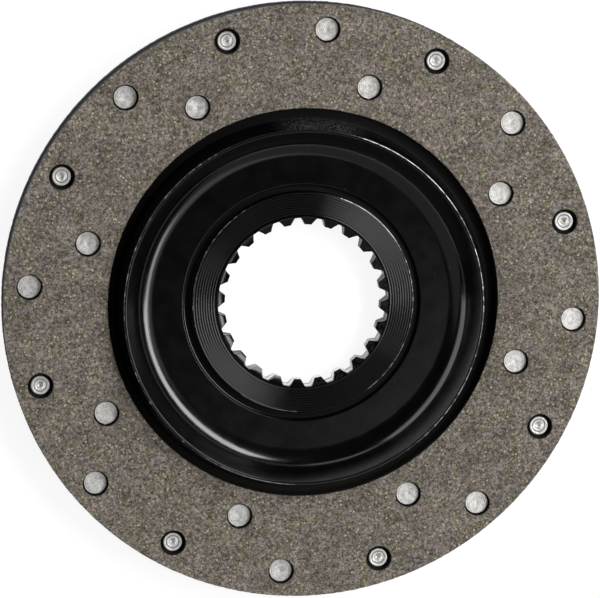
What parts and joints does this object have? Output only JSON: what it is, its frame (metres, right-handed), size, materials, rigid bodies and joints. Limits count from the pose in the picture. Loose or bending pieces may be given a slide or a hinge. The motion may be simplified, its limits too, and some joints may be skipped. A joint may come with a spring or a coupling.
{
  "type": "brake disc",
  "caption": "Flat ring-shaped brake disc: a friction lining riveted to each face of a thin steel flange, with a raised inner rib, a flat web and an internally splined hub.",
  "frame": {"origin": "on the spline's axis, in the plane of the rear lining's friction face", "axes": "+Z along the disc's axis, towards the front with the raised rib; +X through one front-headed rivet of the outer ring"},
  "size_m": [0.224, 0.224, 0.0175],
  "materials": {
    "black_steel": "satin black paint, worn and dusty on the rib's crest",
    "friction_lining": "moulded friction material with short fibres, matt grey-brown",
    "rivet_steel": "dull plated steel"
  },
  "bodies": {
    "root": {"splined_centre": "black_steel", "front_lining": "friction_lining", "rear_lining": "friction_lining", "outer_front_rivets": "rivet_steel", "outer_rear_rivets": "rivet_steel", "inner_front_rivets": "rivet_steel"}
  },
  "joints": []
}
